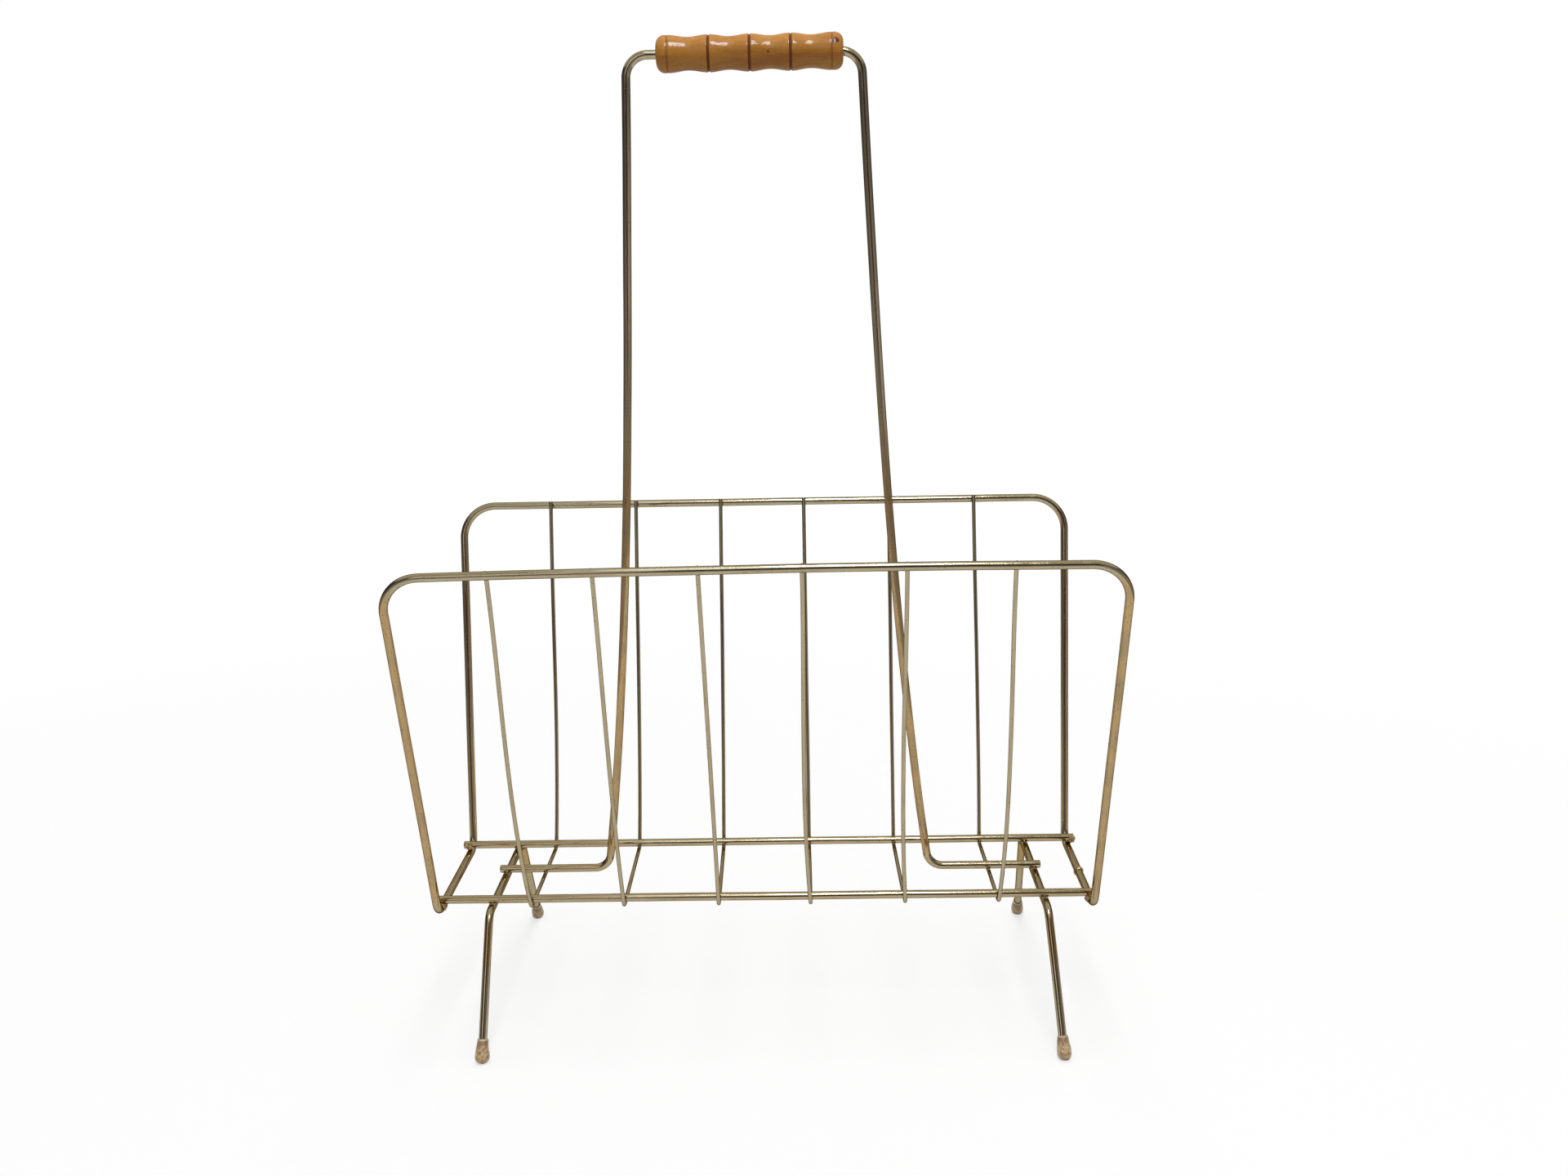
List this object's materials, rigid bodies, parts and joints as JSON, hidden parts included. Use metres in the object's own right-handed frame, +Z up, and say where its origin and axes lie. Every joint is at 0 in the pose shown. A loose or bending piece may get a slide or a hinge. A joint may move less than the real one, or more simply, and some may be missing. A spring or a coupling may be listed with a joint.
{
  "type": "wire magazine rack",
  "caption": "Open wire basket on splayed wire legs, with a tall wire handle and a turned wooden grip that spins; holds magazines upright in two bays.",
  "frame": {"origin": "on the floor, under the middle of the basket", "axes": "+X to the right along the rack, +Y to the rear, +Z up"},
  "size_m": [0.3934, 0.1962, 0.5607],
  "materials": {
    "brass_wire": "worn brass plating on steel wire, satin, with brown specks",
    "weld": "dark, rough spot-weld metal",
    "grip_wood": "turned wood in glossy orange-brown lacquer",
    "foot_cap": "aged cream plastic, dirty at the floor"
  },
  "bodies": {
    "rack": {"basket_loop": "brass_wire", "front_rail": "brass_wire", "rear_rail": "brass_wire", "rib_1": "brass_wire", "rib_2": "brass_wire", "rib_3": "brass_wire", "rib_4": "brass_wire", "rib_5": "brass_wire", "rib_6": "brass_wire", "left_leg_frame": "brass_wire", "right_leg_frame": "brass_wire", "handle_wire": "brass_wire", "front_left_foot_cap": "foot_cap", "front_right_foot_cap": "foot_cap", "rear_left_foot_cap": "foot_cap", "rear_right_foot_cap": "foot_cap", "weld_basket_loop": "weld", "weld_front_rail_left_bar": "weld", "weld_front_rail_left_leg": "weld", "weld_front_rail_right_bar": "weld", "weld_front_rail_right_leg": "weld", "weld_rear_rail_left_bar": "weld", "weld_rear_rail_left_leg": "weld", "weld_rear_rail_right_bar": "weld", "weld_rear_rail_right_leg": "weld", "weld_handle_left_leg": "weld", "weld_handle_right_leg": "weld", "weld_handle_rib_1": "weld", "weld_handle_rib_6": "weld", "weld_rib_1_front_hoop": "weld", "weld_rib_1_front_rail": "weld", "weld_rib_1_rear_hoop": "weld", "weld_rib_1_rear_rail": "weld", "weld_rib_2_front_hoop": "weld", "weld_rib_2_front_rail": "weld", "weld_rib_2_rear_hoop": "weld", "weld_rib_2_rear_rail": "weld", "weld_rib_3_front_hoop": "weld", "weld_rib_3_front_rail": "weld", "weld_rib_3_rear_hoop": "weld", "weld_rib_3_rear_rail": "weld", "weld_rib_4_front_hoop": "weld", "weld_rib_4_front_rail": "weld", "weld_rib_4_rear_hoop": "weld", "weld_rib_4_rear_rail": "weld", "weld_rib_5_front_hoop": "weld", "weld_rib_5_front_rail": "weld", "weld_rib_5_rear_hoop": "weld", "weld_rib_5_rear_rail": "weld", "weld_rib_6_front_hoop": "weld", "weld_rib_6_front_rail": "weld", "weld_rib_6_rear_hoop": "weld", "weld_rib_6_rear_rail": "weld"},
    "grip": {"handle_grip": "grip_wood"}
  },
  "joints": [
    {"name": "grip_spin", "type": "hinge", "parent": "rack", "child": "grip", "pos_m": [0, 0, 0.5506], "axis": [1, 0, 0], "continuous": true}
  ]
}
